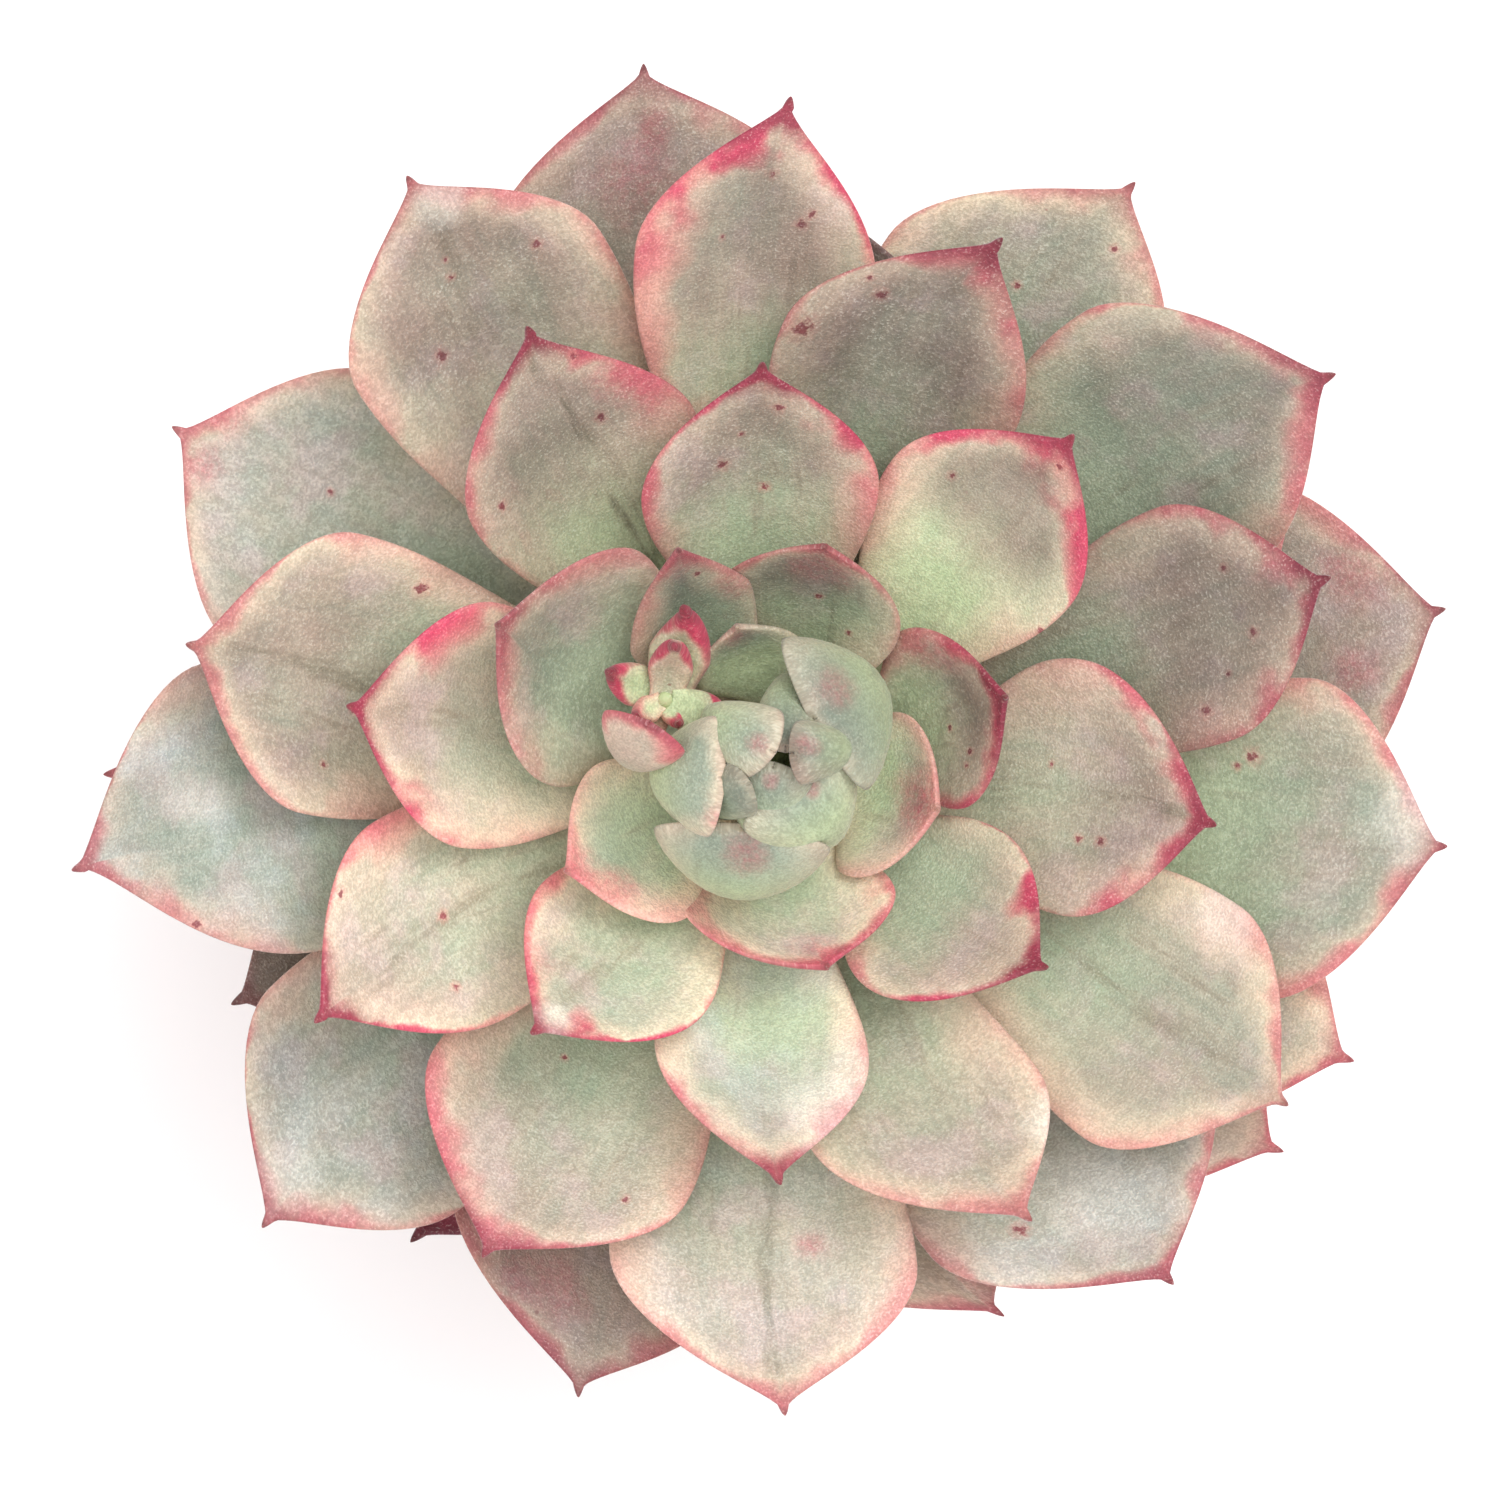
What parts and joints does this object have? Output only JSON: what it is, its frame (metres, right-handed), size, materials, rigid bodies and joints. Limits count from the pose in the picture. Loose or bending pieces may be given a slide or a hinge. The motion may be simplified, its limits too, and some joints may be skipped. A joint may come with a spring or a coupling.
{
  "type": "potted succulent",
  "caption": "Rosette succulent with broad pointed fleshy leaves round a short stem and a small offset, in a plain round clay pot of soil.",
  "frame": {"origin": "under the middle of the whole object, on the surface the pot stands on", "axes": "+Z up; +X to the right and +Y up in a view from straight above"},
  "size_m": [0.1195, 0.1178, 0.1163],
  "materials": {
    "clay": "unglazed fired clay, matt and slightly chalky",
    "earth": "dark crumbly potting soil with grit",
    "bark": "dry woody stem with leaf scars",
    "leaf_skin": "waxy grey-green leaf with a powdery bloom, cream and pink margins and red tips"
  },
  "bodies": {
    "root": {"leaf_01": "leaf_skin", "leaf_02": "leaf_skin", "leaf_03": "leaf_skin", "leaf_04": "leaf_skin", "leaf_05": "leaf_skin", "leaf_06": "leaf_skin", "leaf_07": "leaf_skin", "leaf_08": "leaf_skin", "leaf_09": "leaf_skin", "leaf_10": "leaf_skin", "leaf_11": "leaf_skin", "leaf_12": "leaf_skin", "leaf_13": "leaf_skin", "leaf_14": "leaf_skin", "leaf_15": "leaf_skin", "leaf_16": "leaf_skin", "leaf_17": "leaf_skin", "leaf_18": "leaf_skin", "leaf_19": "leaf_skin", "leaf_20": "leaf_skin", "leaf_21": "leaf_skin", "leaf_22": "leaf_skin", "leaf_23": "leaf_skin", "leaf_24": "leaf_skin", "leaf_25": "leaf_skin", "leaf_26": "leaf_skin", "leaf_27": "leaf_skin", "leaf_28": "leaf_skin", "leaf_29": "leaf_skin", "leaf_30": "leaf_skin", "leaf_31": "leaf_skin", "leaf_32": "leaf_skin", "leaf_33": "leaf_skin", "leaf_34": "leaf_skin", "leaf_35": "leaf_skin", "leaf_36": "leaf_skin", "leaf_37": "leaf_skin", "leaf_38": "leaf_skin", "leaf_39": "leaf_skin", "leaf_40": "leaf_skin", "leaf_41": "leaf_skin", "leaf_42": "leaf_skin", "leaf_43": "leaf_skin", "leaf_44": "leaf_skin", "leaf_45": "leaf_skin", "leaf_46": "leaf_skin", "leaf_47": "leaf_skin", "leaf_48": "leaf_skin", "leaf_49": "leaf_skin", "leaf_50": "leaf_skin", "leaf_51": "leaf_skin", "leaf_52": "leaf_skin", "leaf_53": "leaf_skin", "leaf_54": "leaf_skin", "leaf_55": "leaf_skin", "offset": "leaf_skin", "pot": "clay", "soil": "earth", "stem": "bark"}
  },
  "joints": []
}
